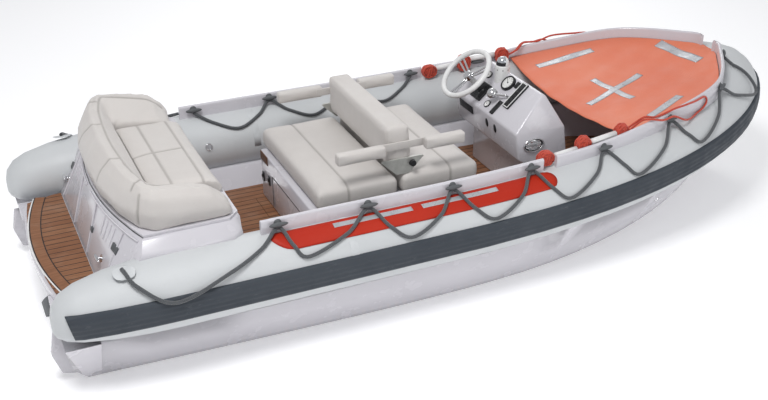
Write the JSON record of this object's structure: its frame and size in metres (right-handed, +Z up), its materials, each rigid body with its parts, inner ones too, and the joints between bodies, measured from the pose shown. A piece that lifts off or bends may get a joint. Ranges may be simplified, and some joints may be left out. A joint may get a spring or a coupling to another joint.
{
  "type": "jet tender",
  "caption": "Open rigid inflatable tender afloat: vee hull with jet drive, inflated collar, stern sofa over the engine, bench, helm console and fabric bow cover.",
  "frame": {"origin": "amidships on the centre line, at the waterline when afloat", "axes": "+X to the bow, +Y to port, +Z up"},
  "size_m": [4.9866, 2.0914, 1.3219],
  "materials": {
    "gelcoat": "glossy gelcoat",
    "collar_fabric": "coated fabric",
    "strake_rubber": "satin rubber",
    "upholstery": "vinyl",
    "teak": "oiled teak with dark caulk",
    "rope_grey": "braided rope",
    "rope_orange": "braided rope",
    "chrome": "polished",
    "black_plastic": "satin",
    "orange_fabric": "coated fabric",
    "white_plastic": "glossy",
    "bracket_metal": "anodised",
    "cast_metal": "painted casting"
  },
  "bodies": {
    "boat": {"backrest_bracket_port": "bracket_metal", "backrest_bracket_starboard": "bracket_metal", "bench_base": "gelcoat", "bench_cushion_aft": "upholstery", "bench_cushion_fore": "upholstery", "bow_cover": "orange_fabric", "compass_pod": "white_plastic", "console": "gelcoat", "console_vent": "chrome", "dash_panel": "black_plastic", "engine_block": "cast_metal", "engine_box": "gelcoat", "gauge": "black_plastic", "hull": "gelcoat", "jet_housing": "cast_metal", "lifeline_inner_port": "rope_grey", "lifeline_inner_starboard": "rope_grey", "lifeline_outer_port": "rope_grey", "lifeline_outer_starboard": "rope_grey", "line_knot_aft_port": "rope_orange", "line_knot_aft_starboard": "rope_orange", "line_knot_fore_port": "rope_orange", "line_knot_fore_starboard": "rope_orange", "line_knot_mid_port": "rope_orange", "line_knot_mid_starboard": "rope_orange", "line_loop_port": "rope_orange", "line_loop_starboard": "rope_orange", "line_sleeve_aft_port": "white_plastic", "line_sleeve_aft_starboard": "white_plastic", "line_sleeve_fore_port": "white_plastic", "line_sleeve_fore_starboard": "white_plastic", "platform_teak": "teak", "rail_aft_port": "gelcoat", "rail_aft_starboard": "gelcoat", "rail_fore_port": "gelcoat", "rail_fore_starboard": "gelcoat", "sole_hatch": "teak", "sole_teak": "teak", "steering_column": "white_plastic", "stern_fin_port": "gelcoat", "stern_fin_starboard": "gelcoat", "strake_port": "strake_rubber", "strake_starboard": "strake_rubber", "swim_platform": "gelcoat", "switch_tray": "black_plastic", "throttle_lever": "chrome", "tube_bow": "collar_fabric", "tube_port": "collar_fabric", "tube_starboard": "collar_fabric"},
    "engine_lid": {"engine_cover": "gelcoat", "sofa_back": "upholstery", "sofa_seat": "upholstery"},
    "backrest_unit": {"backrest": "upholstery", "armrest_aft_port": "upholstery", "armrest_aft_starboard": "upholstery", "armrest_fore_port": "upholstery", "armrest_fore_starboard": "upholstery"},
    "wheel": {"steering_wheel": "white_plastic"},
    "nozzle": {"jet_nozzle": "cast_metal"},
    "bucket": {"reverse_bucket": "cast_metal"}
  },
  "joints": [
    {"name": "engine_lid_lift", "type": "hinge", "parent": "boat", "child": "engine_lid", "pos_m": [-1.48, 0, 0.7393], "axis": [0, 1, 0], "range_deg": [0, 60]},
    {"name": "backrest_rock", "type": "hinge", "parent": "boat", "child": "backrest_unit", "pos_m": [-0.455, 0, 0.715], "axis": [0, 1, 0], "range_deg": [-10, 10]},
    {"name": "wheel_turn", "type": "hinge", "parent": "boat", "child": "wheel", "pos_m": [0.3592, 0.268, 0.8881], "axis": [-0.6695, 0, 0.7428], "range_deg": [-270, 270]},
    {"name": "nozzle_steer", "type": "hinge", "parent": "boat", "child": "nozzle", "pos_m": [-2.373, 0, -0.06], "axis": [0, 0, 1], "range_deg": [-24, 24]},
    {"name": "bucket_tilt", "type": "hinge", "parent": "nozzle", "child": "bucket", "pos_m": [-2.398, 0, -0.06], "axis": [0, -1, 0], "range_deg": [0, 75]}
  ],
  "couplings": [
    {"joint": "nozzle_steer", "follows": "wheel_turn", "ratio": -0.088889}
  ]
}
